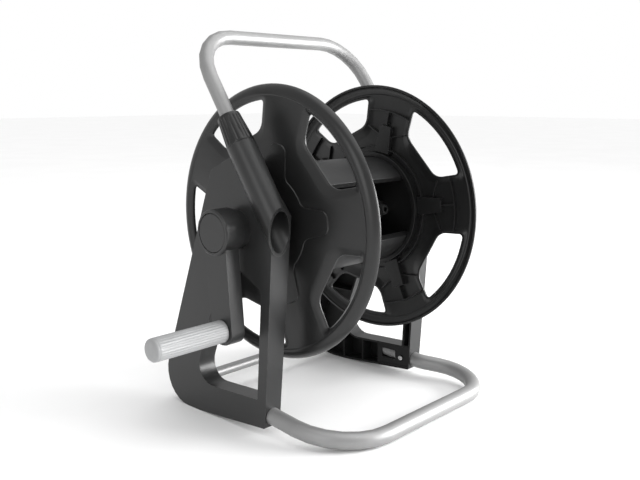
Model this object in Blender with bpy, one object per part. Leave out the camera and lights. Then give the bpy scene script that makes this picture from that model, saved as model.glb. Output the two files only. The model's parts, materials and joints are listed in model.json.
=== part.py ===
"""Free-standing garden hose reel: two moulded side frames on a bent tube base, a drum that a crank turns,
a carrying handle that slides in the frames, and a swivelling water inlet on the axle.

Metres, +Z up. X runs across the stand, with the crank at -X, and -Y is the front, where the base loop lies.
The stand is built with x = 0 midway between the frames and y = 0 at the axle; the whole model is then
moved so that its origin is on the floor under the middle of its overall box."""

from math import ceil, cos, pi, radians, sin, tan

import bmesh
import bpy
from mathutils import Matrix, Vector

# ---- clearances
GAP = 0.0003  # between pieces that touch
RUNNING = 0.0004  # between pieces that turn or slide on each other

# ---- width
FRAME_FACE = 0.1555  # outer face of a side frame from the middle

# ---- reel
AXIS_HEIGHT = 0.249
FLANGE_RADIUS = 0.170
FLANGE_FACE = FRAME_FACE - 0.0505  # outer face from the middle
FLANGE_PLATE = 0.0032
RIM_WIDTH = 0.014
RIM_DEPTH = 0.009
RIM_CROWN = 0.0010
HUB_RING_WALL = 0.006
HUB_RING_DEPTH = 0.011
HUB_BOSS_RADIUS = 0.018
HUB_BOSS_OUT = 0.010
HUB_BOSS_IN = 0.016
WINDOW_COUNT = 5
WINDOW_PHASE = radians(42.9)  # middle of the first window, from the front towards the top
WINDOW_HALF = radians(21.0)
WINDOW_OUTER = 0.151
WINDOW_FLOOR = 0.110  # distance of the straight inner side from the axis
WINDOW_SIDE = radians(17.6)  # half angle between the corners of that side
WINDOW_CORNER = 0.010
DRUM_RADIUS = 0.0725
DRUM_WALL = 0.003
DRUM_GAP_LOW = radians(-25.4)
DRUM_GAP_HIGH = radians(41.4)
DRUM_SEAM = radians(188.0)
DRUM_LIP = 0.007
GAP_MIDDLE = (DRUM_GAP_LOW + DRUM_GAP_HIGH) / 2

# ---- axle
AXLE_HEX = 0.012
JOURNAL = 0.009
AXLE_BORE = 0.0055
AXLE_RIGHT = FRAME_FACE + 0.0275
AXLE_BORE_LENGTH = AXLE_RIGHT - 0.037
SEAL_PLACES = (FRAME_FACE + 0.0200, FRAME_FACE + 0.0245)
SEAL_DEPTH = 0.0016
CLIP_THICK = 0.0022
CLIP_RADIUS = 0.0150
SEAL_RADIUS = 0.0011
SEAL_PROUD = 0.0003

# ---- side frames
FRAME_DEPTH = 0.0245  # at the floor
FRAME_FLARE = 0.020  # extra depth for each metre of height
FRAME_SKIN = 0.003
FRAME_WALL = 0.003
POST_FOOT = -0.044  # front of the post at the bottom
POST_LEAN = 0.0665  # how far the post's front comes forward for each metre up
RAIL_RISE = 0.0105
RAIL_HEIGHT = 0.034
HEEL_FRONT = 0.080
HEEL_REAR = 0.1657
HEEL_ROUND = 0.042
SHOULDER_Y = 0.046
SHOULDER_Z = 0.316
POST_DEPTH = 0.0150
LEG_DEPTH = 0.061
RIB_THICK = 0.002
RAIL_RIBS = (0.044, 0.082)
LEG_RIBS = (0.110, 0.160)
BOSS_RIBS = (radians(35), radians(-28))
BOSS_RIB_REACH = 0.046
OPEN_EDGE = 0.0004  # inner walls and ribs stop this much short of the outer wall's edge
OPENING_TOP_REAR = (0.024, 0.214)
OPENING_TOP_SLOPE = 0.53
BOSS_RADIUS = 0.024
BOSS_OUT = FRAME_FACE + 0.0110
BUSH_WALL = 0.0045
BUSH_FLANGE = 0.0025
BUSH_FLANGE_RADIUS = 0.0175

# ---- handle and its sleeves
HANDLE_TUBE = 0.009
HANDLE_WALL = 0.0012
LEG_X = FRAME_FACE - 0.0110
SLEEVE_LEAN = radians(33.6)
MOUTH_Y = -0.0583
MOUTH_Z = 0.2556
SLEEVE_RADIUS = HANDLE_TUBE + 0.0085
SLEEVE_BORE = HANDLE_TUBE + 0.0060
SLEEVE_TOP = 0.109  # along the sleeve, from the mouth's centre
MOUTH_PROUD = 0.0015
HANDLE_TOP_Z = 0.477
HANDLE_BEND = 0.060
HANDLE_START = 0.028  # along the sleeve, where the tube's lower end stands
COLLAR_LENGTH = 0.040
COLLAR_BASE = HANDLE_TUBE + 0.0084
COLLAR_TOP = HANDLE_TUBE + 0.0048
COLLAR_BAND = 0.0030
COLLET_SPIGOT = 0.024
COLLET_THREAD = HANDLE_TUBE + 0.0046
COLLET_THREAD_LENGTH = 0.014
COLLET_CONE = 0.016
COLLET_TIP = HANDLE_TUBE + 0.0018
PLUG_HEAD = 0.002
PLUG_LENGTH = 0.012
GUIDE_PLACE = 0.044
GUIDE_LENGTH = 0.012

# ---- base
BASE_TUBE = 0.0105
BASE_WALL = 0.0015
BASE_FRONT_Y = -0.1594
BASE_BEND = 0.077
BASE_FLARED_BEND = 0.056
BASE_STRAIGHT = 0.001  # straight tube in front of the right post
FLARE = radians(25)
FLARE_BEND = 0.036
BASE_EXIT_Z = 0.0240
BASE_SOCKET = 0.056  # length of tube inside the rail
BASE_X = FRAME_FACE - FRAME_DEPTH / 2
VIEW_FRONT = -0.019  # opening in the rail's inner side that shows the tube
VIEW_REAR = 0.006
VIEW_HALF = 0.007
REAR_TUBE = 0.0070
REAR_WALL = 0.0012
REAR_Y = 0.112
REAR_Z = 0.0293
REAR_BOSS_DEPTH = 0.020
REAR_TUBE_END = FRAME_FACE - FRAME_SKIN - 0.001
SCREW_Y = -0.030
SCREW_REACH = 0.005
SCREW_SHANK = 0.0018
SCREW_HEAD = 0.0036
SCREW_HEAD_THICK = 0.0022

# ---- crank
CRANK_REACH = 0.1158
CRANK_REST = radians(5.5)  # the arm hangs this far towards the front
CRANK_HEAD = 0.0272
CRANK_BACK = FRAME_FACE + 0.0125
CRANK_FACE = FRAME_FACE + 0.0355
CRANK_HEAD_FACE = FRAME_FACE + 0.0385
ARM_BACK = FRAME_FACE + 0.0155
ARM_HALF_TOP = 0.0185
ARM_HALF_END = 0.0170
CAP_RADIUS = 0.0230
CAP_THICK = 0.0030
CAP_ROUND = 0.0008
CRANK_HEX = 0.0088
CRANK_SCREW = 0.0025
CRANK_SCREW_END = FRAME_FACE + 0.0165
SCREW_POCKET = 0.0042
WASHER_RADIUS = 0.0052
WASHER_THICK = 0.0010
CRANK_WEB = 0.0020
SPINDLE_RADIUS = 0.0040
SPINDLE_HEAD = 0.0012
RETAINER_RADIUS = 0.0070
GRIP_RADIUS = 0.0135
GRIP_ROUND = 0.0010
GRIP_POCKET = 0.0120
GRIP_LENGTH = 0.0960
GRIP_CAP = 0.0040
GRIP_CAP_ROUND = 0.0030

# ---- water path
OUTLET_X = 0.045
OUTLET_WIDTH = 0.024
OUTLET_RADIUS = 0.0185
OUTLET_PIPE = 0.0075
OUTLET_REACH = 0.044
CONNECTOR_RADIUS = 0.0125
CONNECTOR_LENGTH = 0.018
OUTLET_BORE = 0.0050
OUTLET_PORT = 0.0040
TAIL_BORE = 0.0035
TAIL_ROOT = 0.0060
TAIL_PITCH = 0.0040
TAIL_BARBS = 3
INLET_RADIUS = 0.0140
INLET_END = FRAME_FACE + 0.0375
INLET_CHAMBER = 0.0035
NUT_LENGTH = 0.0050
INLET_PIPE = 0.0090
INLET_DROP = 0.046
NIPPLE_RADIUS = 0.0085
NIPPLE_LENGTH = 0.026
NIPPLE_FLANGE = 0.0105
NIPPLE_NECK = 0.0070
NIPPLE_SPIGOT = 0.0058
NIPPLE_BORE = 0.0040

# ---- fineness of round shapes
ROUND = 24
ROUND_LARGE = 60
ROUND_SMALL = 12
TUBE_SIDES = 6  # bevel resolution of a bent tube
STAGGER = 300  # radians for each metre of radius, so that no two round shapes have their edges in line
ARC_STEP = radians(15)

FINISHES = {
    "frame_plastic": ((0.070, 0.070, 0.072), 0.48, 0.0),
    "reel_plastic": ((0.040, 0.040, 0.042), 0.45, 0.0),
    "drum_plastic": ((0.055, 0.055, 0.057), 0.50, 0.0),
    "collar_plastic": ((0.022, 0.022, 0.024), 0.42, 0.0),
    "tube_aluminium": ((0.72, 0.72, 0.72), 0.34, 1.0),
    "grip_plastic": ((0.80, 0.80, 0.78), 0.45, 0.0),
    "grip_cap_plastic": ((0.42, 0.42, 0.42), 0.45, 0.0),
    "acetal": ((0.75, 0.74, 0.70), 0.35, 0.0),
    "steel": ((0.62, 0.62, 0.64), 0.30, 1.0),
    "rubber": ((0.020, 0.020, 0.020), 0.80, 0.0),
}


# ---------------------------------------------------------------- tools
def clear_scene():
    for thing in list(bpy.data.objects):
        bpy.data.objects.remove(thing, do_unlink=True)


def finish_material(name):
    found = bpy.data.materials.get(name)
    if found:
        return found
    colour, roughness, metallic = FINISHES[name]
    made = bpy.data.materials.new(name)
    made.use_nodes = True
    shader = made.node_tree.nodes["Principled BSDF"]
    shader.inputs["Base Color"].default_value = (*colour, 1.0)
    shader.inputs["Roughness"].default_value = roughness
    shader.inputs["Metallic"].default_value = metallic
    return made


def empty(name, place, parent=None, turn=(0.0, 0.0, 0.0)):
    made = bpy.data.objects.new(name, None)
    made.location = place
    made.rotation_euler = turn
    made.parent = parent
    bpy.context.collection.objects.link(made)
    return made


def to_object(bm, name, finish, pivot, local=False):
    """An object on the empty `pivot`. Its shape is given in the stand's frame, or, if `local`, in the empty's."""
    bmesh.ops.remove_doubles(bm, verts=bm.verts, dist=1e-6)
    if not local:
        bm.transform(Matrix.Translation(-pivot.location))
    bmesh.ops.recalc_face_normals(bm, faces=bm.faces)
    mesh = bpy.data.meshes.new(name)
    bm.to_mesh(mesh)
    bm.free()
    mesh.materials.append(finish_material(finish))
    mesh.shade_smooth()
    mesh.set_sharp_from_angle(angle=radians(35))
    made = bpy.data.objects.new(name, mesh)
    made.parent = pivot
    bpy.context.collection.objects.link(made)
    return made


def carve(body, steps, pivot, local=False):
    """Booleans of `body`, in order, with (operation, bmesh) steps, each shape kept as a hidden helper."""
    for number, (operation, bm) in enumerate(steps):
        helper = to_object(bm, f"{body.name}_helper_{number}", "steel", pivot, local)
        helper.hide_render = True
        helper.display_type = "WIRE"
        modifier = body.modifiers.new(helper.name, "BOOLEAN")
        modifier.operation = operation
        modifier.solver = "EXACT"
        modifier.object = helper


def prism(outline, x_from, x_to):
    """A (y, z) outline extruded along X. x_to may be a function of z."""
    bm = bmesh.new()
    face = bm.faces.new([bm.verts.new((x_from, y, z)) for y, z in outline])
    grown = bmesh.ops.extrude_face_region(bm, geom=[face])["geom"]
    for vertex in (v for v in grown if isinstance(v, bmesh.types.BMVert)):
        vertex.co.x = x_to(vertex.co.z) if callable(x_to) else x_to
    return bm


def block(low, high):
    return prism([(low[1], low[2]), (high[1], low[2]), (high[1], high[2]), (low[1], high[2])], low[0], high[0])


def turned(profile, steps=ROUND, ring=True, start=0.0):
    """(radius, x) points turned about the X axis: a closed ring section, or a line from axis to axis."""
    bm = bmesh.new()
    points = [bm.verts.new((x, -radius * sin(start), radius * cos(start))) for radius, x in profile]
    edges = [bm.edges.new(pair) for pair in zip(points, points[1:])]
    if ring:
        edges.append(bm.edges.new((points[-1], points[0])))
    bmesh.ops.spin(bm, geom=points + edges, cent=(0, 0, 0), axis=(1, 0, 0), angle=2 * pi, steps=steps)
    bmesh.ops.remove_doubles(bm, verts=bm.verts, dist=1e-6)
    return bm


def pipe(radius, bore, x_from, x_to, steps=ROUND):
    return turned([(bore, x_from), (radius, x_from), (radius, x_to), (bore, x_to)], steps, start=bore * STAGGER)


def rod(radius, x_from, x_to, steps=ROUND):
    profile = [(0, x_from), (radius, x_from), (radius, x_to), (0, x_to)]
    return turned(profile, steps, ring=False, start=radius * STAGGER)


def hex_bar(radius, x_from, x_to):
    return turned([(0, x_from), (radius, x_from), (radius, x_to), (0, x_to)], 6, ring=False)


def moved(bm, matrix):
    bm.transform(matrix)
    return bm


def at_axis(bm):
    return moved(bm, Matrix.Translation((0, 0, AXIS_HEIGHT)))


def along(bm, start, direction):
    """A shape made along +X, put at `start` and turned towards `direction`."""
    turn = Vector((1, 0, 0)).rotation_difference(Vector(direction)).to_matrix().to_4x4()
    return moved(bm, Matrix.Translation(start) @ turn)


def bent_tube(points, radius):
    """A round bar of this radius along the points."""
    curve = bpy.data.curves.new("bent", "CURVE")
    curve.dimensions = "3D"
    curve.bevel_depth = radius
    curve.bevel_resolution = TUBE_SIDES
    curve.use_fill_caps = True
    spline = curve.splines.new("POLY")
    spline.points.add(len(points) - 1)
    for target, point in zip(spline.points, points):
        target.co = (*point, 1.0)
    holder = bpy.data.objects.new("bent", curve)
    bpy.context.collection.objects.link(holder)
    bpy.context.view_layer.update()
    mesh = bpy.data.meshes.new_from_object(holder.evaluated_get(bpy.context.evaluated_depsgraph_get()))
    bm = bmesh.new()
    bm.from_mesh(mesh)
    bpy.data.objects.remove(holder)
    bpy.data.meshes.remove(mesh)
    bmesh.ops.remove_doubles(bm, verts=bm.verts, dist=1e-6)
    return bm


def hoop(start, line, corners, extra=0.0):
    """Points of a bent tube that lies in the plane through X and `line`. Its corners are (x, distance, bend
    radius), with the distance measured along `line` from `start`, and both ends go on by `extra`."""
    (first_x, first, _), *middle, (last_x, last, _) = corners
    outline = rounded([(first_x, first - extra, 0.0), *middle, (last_x, last - extra, 0.0)])
    return [Vector((x, start[0], start[1])) + line * distance for x, distance in outline]


def rounded(corners):
    """Outline through (y, z, radius) corners, with each corner an arc."""
    points = []
    for number, (y, z, radius) in enumerate(corners):
        corner = Vector((y, z))
        if radius == 0:
            points.append(tuple(corner))
            continue
        before = (Vector(corners[number - 1][:2]) - corner).normalized()
        after = (Vector(corners[(number + 1) % len(corners)][:2]) - corner).normalized()
        half = before.angle(after) / 2
        centre = corner + (before + after).normalized() * (radius / sin(half))
        start = corner + before * (radius / tan(half)) - centre
        sweep = pi - 2 * half
        turn = 1 if before.x * after.y - before.y * after.x < 0 else -1
        steps = max(2, ceil(sweep / ARC_STEP))
        for step in range(steps + 1):
            angle = turn * sweep * step / steps
            points.append((centre.x + start.x * cos(angle) - start.y * sin(angle),
                           centre.y + start.x * sin(angle) + start.y * cos(angle)))
    return points


def shrunk(corners, distance):
    """The same corners with every side moved inwards by `distance`. The corners run anticlockwise."""
    result = []
    for number, (y, z, radius) in enumerate(corners):
        corner = Vector((y, z))
        before = (corner - Vector(corners[number - 1][:2])).normalized()
        after = (Vector(corners[(number + 1) % len(corners)][:2]) - corner).normalized()
        bend = before.x * after.y - before.y * after.x
        inward = Vector((-before.y, before.x)) + Vector((-after.y, after.x))
        inward = inward.normalized() * (distance / cos(before.angle(after) / 2))
        change = -distance if bend > 0 else distance
        result.append((corner.x + inward.x, corner.y + inward.y, max(radius + change, 0.0) if radius else 0.0))
    return result


# ---------------------------------------------------------------- places worked out from the dimensions
SLEEVE_LINE = Vector((0, sin(SLEEVE_LEAN), cos(SLEEVE_LEAN)))
MOUTH = Vector((0, MOUTH_Y, MOUTH_Z))
DRUM_INNER = FLANGE_FACE - FLANGE_PLATE - GAP  # half the drum's length
HUB_RING_BORE = DRUM_RADIUS + GAP
HUB_END = FLANGE_FACE + HUB_BOSS_OUT
CLIP_END = HUB_END + GAP + CLIP_THICK
BUSH_END = CLIP_END + RUNNING
BOSS_IN = BUSH_END + BUSH_FLANGE + GAP
BUSH_RADIUS = JOURNAL + RUNNING + BUSH_WALL
AXLE_LEFT = CRANK_HEAD_FACE - CAP_THICK - SCREW_POCKET - CRANK_WEB
GRIP_START = CRANK_FACE + RUNNING
GRIP_END = GRIP_START + GRIP_LENGTH + GAP + GRIP_CAP
POST_TOP_Z = MOUTH_Z
REAR_SLOPE = (HEEL_REAR - SHOULDER_Y) / SHOULDER_Z

CRANK_TURN = Matrix.Rotation(-CRANK_REST, 4, "X")
MIDDLE_X = (INLET_END - INLET_PIPE + NIPPLE_FLANGE - GRIP_END) / 2  # of the overall box
SIDES = ((-1, "left"), (1, "right"))


def post_front(z):
    return POST_FOOT - POST_LEAN * (z - RAIL_RISE)


BASE_BAR = Vector((BASE_FRONT_Y, BASE_TUBE))  # (y, z) of the front bar's centre
BASE_DIRECTION = (BASE_BAR - Vector((post_front(BASE_EXIT_Z), BASE_EXIT_Z))).normalized()


def rail_bottom(y):
    return RAIL_RISE * (HEEL_FRONT - y) / (HEEL_FRONT - POST_FOOT)


def rear_edge(z):
    return HEEL_REAR - REAR_SLOPE * z


def frame_inner(side):
    """The frame's inner face as a function of height."""
    return lambda z: side * (FRAME_FACE - FRAME_DEPTH - FRAME_FLARE * z)


def sleeve_point(distance, across=0.0):
    """(y, z) at this distance up the sleeve, and `across` it towards the rear and below."""
    point = MOUTH + SLEEVE_LINE * distance + Vector((0, cos(SLEEVE_LEAN), -sin(SLEEVE_LEAN))) * across
    return point.y, point.z


def frame_corners():
    """The side plate's outline, anticlockwise seen with +Y to the right."""
    return [
        (post_front(RAIL_RISE), RAIL_RISE, 0.003),
        (HEEL_FRONT, 0.0, 0.0),
        (rear_edge(0.0), 0.0, HEEL_ROUND),
        (SHOULDER_Y, SHOULDER_Z, 0.010),
        (*sleeve_point(SLEEVE_TOP - 0.006, SLEEVE_RADIUS * 0.9), 0.0),
        (*sleeve_point(SLEEVE_TOP - 0.012), 0.0),
        (post_front(POST_TOP_Z + 0.012), POST_TOP_Z + 0.012, 0.0),
    ]


def opening_corners():
    """The frame's window, anticlockwise, between the post, the rail and the leg."""
    def inner_post(z):
        return post_front(z) + POST_DEPTH

    def inner_leg(z):
        return rear_edge(z) - LEG_DEPTH

    bottom = RAIL_RISE + RAIL_HEIGHT
    top_y, top_z = OPENING_TOP_REAR
    front_top = top_z - OPENING_TOP_SLOPE * (top_y - inner_post(top_z - 0.03))
    rear_bottom = bottom - 0.006
    return [
        (inner_post(bottom), bottom, 0.002),
        (inner_leg(rear_bottom), rear_bottom, 0.024),
        (inner_leg(top_z), top_z + OPENING_TOP_SLOPE * (inner_leg(top_z) - top_y), 0.013),
        (inner_post(front_top), front_top, 0.006),
    ]


def base_line(y):
    """Height of the base tube's centre line where it runs into the rail."""
    return BASE_BAR.y + (y - BASE_BAR.x) * BASE_DIRECTION.y / BASE_DIRECTION.x


# ---------------------------------------------------------------- side frames
def leg_frame(side):
    """From the +X build direction to the sleeve's axis on this side, starting at the mouth."""
    turn = Vector((1, 0, 0)).rotation_difference(SLEEVE_LINE).to_matrix().to_4x4()
    return Matrix.Translation(MOUTH + Vector((side * LEG_X, 0, 0))) @ turn


def frame_ribs(skin, edge):
    """Stiffening ribs inside the shell, across the rail and the leg and out from the bearing boss."""
    half = RIB_THICK / 2
    top = RAIL_RISE + RAIL_HEIGHT
    ribs = []
    for y in RAIL_RIBS:
        ribs.append([(y - half, FRAME_WALL), (y + half, FRAME_WALL), (y + half, top), (y - half, top)])
    for z in LEG_RIBS:
        front, rear = rear_edge(z) - LEG_DEPTH - FRAME_WALL / 2, rear_edge(z) - FRAME_WALL / 2
        ribs.append([(front, z - half), (rear, z - half), (rear, z + half), (front, z + half)])
    for angle in BOSS_RIBS:
        out = Vector((cos(angle), sin(angle)))
        across = Vector((-out.y, out.x)) * half
        near, far = out * (BOSS_RADIUS - FRAME_WALL), out * BOSS_RIB_REACH
        corners = (near - across, far - across, far + across, near + across)
        ribs.append([(corner.x, corner.y + AXIS_HEIGHT) for corner in corners])
    return [prism(rib, skin, edge) for rib in ribs]


def sleeve_body(side):
    """The handle's sleeve, cut off level with its mouth in the post's face."""
    bm = moved(rod(SLEEVE_RADIUS, -0.030, SLEEVE_TOP), leg_frame(side))
    normal = Vector((0, -1, -POST_LEAN)).normalized()
    front = Vector((0, post_front(MOUTH_Z) - MOUTH_PROUD, MOUTH_Z))
    everything = bm.verts[:] + bm.edges[:] + bm.faces[:]
    sliced = bmesh.ops.bisect_plane(bm, geom=everything, plane_co=front, plane_no=normal, clear_outer=True)
    rim = [edge for edge in sliced["geom_cut"] if isinstance(edge, bmesh.types.BMEdge)]
    bmesh.ops.edgeloop_fill(bm, edges=rim)
    return bm


def side_frame(name, side, stand):
    outline, opening = frame_corners(), opening_corners()
    inner = frame_inner(side)
    skin = side * (FRAME_FACE - FRAME_SKIN / 2)
    through = (side * (FRAME_FACE + 0.010), side * 0.090)

    def edge(z):
        return inner(z) + side * OPEN_EDGE

    exit_y = post_front(BASE_EXIT_Z)
    socket_rear = exit_y + BASE_SOCKET + FRAME_WALL
    top = RAIL_RISE + RAIL_HEIGHT + FRAME_WALL / 3
    socket = [(post_front(RAIL_RISE) + 0.001, RAIL_RISE + 0.001), (socket_rear, rail_bottom(socket_rear) + 0.001),
              (socket_rear, top), (post_front(top) + 0.001, top)]
    rear_place = Matrix.Translation((0, REAR_Y, REAR_Z))
    tube_view = block((side * 0.090, VIEW_FRONT, base_line(VIEW_FRONT) - VIEW_HALF),
                      (side * (BASE_X - VIEW_HALF), VIEW_REAR, base_line(VIEW_FRONT) + VIEW_HALF))

    steps = [("DIFFERENCE", prism(rounded(shrunk(outline, FRAME_WALL)), side * (FRAME_FACE - FRAME_SKIN),
                                  side * 0.090)),
             ("UNION", prism(rounded(shrunk(opening, -FRAME_WALL)), skin, edge)),
             ("UNION", prism(socket, skin, lambda z: edge(z) + side * OPEN_EDGE)),
             ("UNION", moved(rod(REAR_TUBE + FRAME_WALL, skin, side * (FRAME_FACE - REAR_BOSS_DEPTH), ROUND_SMALL),
                             rear_place))]
    steps += [("UNION", rib) for rib in frame_ribs(skin, lambda z: edge(z) + side * 2 * OPEN_EDGE)]
    steps += [("UNION", at_axis(rod(BOSS_RADIUS, side * BOSS_IN, side * BOSS_OUT))),
              ("UNION", sleeve_body(side)),
              ("DIFFERENCE", at_axis(rod(BUSH_RADIUS + GAP, side * (BOSS_OUT + 0.01), side * 0.1))),
              ("DIFFERENCE", prism(rounded(opening), *through)),
              ("DIFFERENCE", moved(rod(SLEEVE_BORE, -0.060, SLEEVE_TOP + 0.010), leg_frame(side))),
              ("DIFFERENCE", along(rod(BASE_TUBE + GAP, -0.030, BASE_SOCKET + GAP),
                                   (side * BASE_X, exit_y, BASE_EXIT_Z), (0, *-BASE_DIRECTION))),
              ("DIFFERENCE", tube_view),
              ("DIFFERENCE", moved(rod(SCREW_SHANK + GAP, side * 0.090, side * BASE_X, ROUND_SMALL),
                                   Matrix.Translation((0, SCREW_Y, base_line(SCREW_Y))))),
              ("DIFFERENCE", moved(rod(REAR_TUBE + GAP, side * (REAR_TUBE_END + GAP), side * 0.090, ROUND_SMALL),
                                   rear_place))]
    body = to_object(prism(rounded(outline), side * FRAME_FACE, inner), name, "frame_plastic", stand)
    carve(body, steps, stand)


def bearing_bush(name, side, stand):
    bore = JOURNAL + RUNNING
    profile = [(bore, BUSH_END), (BUSH_FLANGE_RADIUS, BUSH_END), (BUSH_FLANGE_RADIUS, BUSH_END + BUSH_FLANGE),
               (BUSH_RADIUS, BUSH_END + BUSH_FLANGE), (BUSH_RADIUS, BOSS_OUT), (bore, BOSS_OUT)]
    to_object(at_axis(turned([(radius, side * x) for radius, x in profile])), name, "acetal", stand)


# ---------------------------------------------------------------- base
def hollow_hoop(name, start, line, corners, radius, wall, pivot, steps=()):
    body = to_object(bent_tube(hoop(start, line, corners), radius), name, "tube_aluminium", pivot)
    inside = bent_tube(hoop(start, line, corners, extra=0.010), radius - wall)
    carve(body, [("DIFFERENCE", inside), *steps], pivot)


def base_loop(stand):
    """From the left rail round the front bar to the right rail, where it flares out before it bends back."""
    inside = (Vector((post_front(BASE_EXIT_Z), BASE_EXIT_Z)) - BASE_DIRECTION * BASE_SOCKET)
    length = (BASE_BAR - inside).length
    kink = BASE_SOCKET + BASE_STRAIGHT + FLARE_BEND * tan(FLARE / 2)
    corners = [(-BASE_X, 0.0, 0.0), (-BASE_X, length, BASE_BEND),
               (BASE_X + (length - kink) * tan(FLARE), length, BASE_FLARED_BEND), (BASE_X, kink, FLARE_BEND),
               (BASE_X, 0.0, 0.0)]
    holes = [("DIFFERENCE", moved(rod(SCREW_SHANK + GAP, side * 0.1, side * BASE_X, ROUND_SMALL),
                                  Matrix.Translation((0, SCREW_Y, base_line(SCREW_Y))))) for side in (-1, 1)]
    hollow_hoop("base_loop_tube", inside, Vector((0, *BASE_DIRECTION)), corners, BASE_TUBE, BASE_WALL, stand, holes)


def rear_tube(stand):
    tube = pipe(REAR_TUBE, REAR_TUBE - REAR_WALL, -REAR_TUBE_END, REAR_TUBE_END, ROUND_SMALL)
    to_object(moved(tube, Matrix.Translation((0, REAR_Y, REAR_Z))), "rear_cross_tube", "tube_aluminium", stand)


def base_screw(name, side, stand):
    """A pan-head screw from the frame's inner side into the base tube."""
    seat = abs(frame_inner(side)(base_line(SCREW_Y))) - OPEN_EDGE
    tip = BASE_X - BASE_TUBE + SCREW_REACH
    profile = [(0, seat - SCREW_HEAD_THICK), (SCREW_HEAD * 0.7, seat - SCREW_HEAD_THICK),
               (SCREW_HEAD, seat - SCREW_HEAD_THICK / 2), (SCREW_HEAD, seat), (SCREW_SHANK, seat),
               (SCREW_SHANK, tip), (0, tip)]
    bm = turned([(radius, side * x) for radius, x in profile], ROUND_SMALL, ring=False)
    place = Matrix.Translation((0, SCREW_Y, base_line(SCREW_Y)))
    to_object(moved(bm, place), name, "steel", stand)


# ---------------------------------------------------------------- handle
def handle(stand):
    pivot = empty("handle_line", MOUTH, stand)
    length = (HANDLE_TOP_Z - MOUTH_Z) / SLEEVE_LINE.z - HANDLE_START
    corners = [(-LEG_X, 0.0, 0.0), (-LEG_X, length, HANDLE_BEND), (LEG_X, length, HANDLE_BEND), (LEG_X, 0.0, 0.0)]
    hollow_hoop("handle_tube", sleeve_point(HANDLE_START), SLEEVE_LINE, corners, HANDLE_TUBE, HANDLE_WALL, pivot)
    bore = HANDLE_TUBE - HANDLE_WALL - GAP
    end = HANDLE_START - GAP
    for side, word in SIDES:
        profile = [(0, end - PLUG_HEAD), (HANDLE_TUBE * 0.8, end - PLUG_HEAD), (HANDLE_TUBE, end - PLUG_HEAD / 2),
                   (HANDLE_TUBE, end), (bore, end), (bore, end + PLUG_LENGTH), (0, end + PLUG_LENGTH)]
        to_object(moved(turned(profile, ROUND_SMALL, ring=False), leg_frame(side)), f"handle_plug_{word}",
                  "collar_plastic", pivot)


def sleeve_fittings(side, word, stand):
    """The split collet in the sleeve's top, the guide bush lower down, and the collar that clamps the tube."""
    bore, fit = HANDLE_TUBE + RUNNING, SLEEVE_BORE - GAP
    thread_end = SLEEVE_TOP + COLLET_THREAD_LENGTH
    collet = [(bore, SLEEVE_TOP - COLLET_SPIGOT), (fit, SLEEVE_TOP - COLLET_SPIGOT), (fit, SLEEVE_TOP),
              (COLLET_THREAD, SLEEVE_TOP), (COLLET_THREAD, thread_end), (COLLET_TIP, thread_end + COLLET_CONE),
              (bore, thread_end + COLLET_CONE)]
    to_object(moved(turned(collet), leg_frame(side)), f"collet_{word}", "acetal", stand)
    guide = pipe(fit, bore, GUIDE_PLACE, GUIDE_PLACE + GUIDE_LENGTH)
    to_object(moved(guide, leg_frame(side)), f"guide_bush_{word}", "acetal", stand)

    pivot = empty(f"collar_axis_{word}", leg_frame(side) @ Vector((SLEEVE_TOP, 0, 0)), stand)
    base, top = SLEEVE_TOP + RUNNING, SLEEVE_TOP + COLLAR_LENGTH
    mouth = bore + RUNNING
    collar = [(COLLET_THREAD + RUNNING, base), (COLLAR_BASE, base), (COLLAR_BASE, base + COLLAR_BAND),
              (COLLAR_TOP, top - COLLAR_BAND / 2), (COLLAR_TOP - COLLAR_BAND / 2, top), (mouth, top),
              (mouth, thread_end + COLLET_CONE + RUNNING), (COLLET_TIP + 2 * RUNNING, thread_end + COLLET_CONE),
              (COLLET_THREAD + RUNNING, thread_end + RUNNING)]
    to_object(moved(turned(collar), leg_frame(side)), f"lock_collar_{word}", "collar_plastic", pivot)


# ---------------------------------------------------------------- reel
def polar(radius, angle):
    """(y, z) about the axle, with the angle from the front towards the top."""
    return -radius * cos(angle), radius * sin(angle)


def window_outline(number):
    middle = WINDOW_PHASE + number * 2 * pi / WINDOW_COUNT
    steps = ceil(2 * WINDOW_HALF / ARC_STEP) + 1
    corners = []
    for step in range(steps + 1):
        angle = middle - WINDOW_HALF + 2 * WINDOW_HALF * step / steps
        corners.append((*polar(WINDOW_OUTER, angle), WINDOW_CORNER / 2 if step in (0, steps) else 0.0))
    for turn in (WINDOW_SIDE, -WINDOW_SIDE):
        corners.append((*polar(WINDOW_FLOOR / cos(turn), middle + turn), WINDOW_CORNER))
    return rounded(corners)


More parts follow.
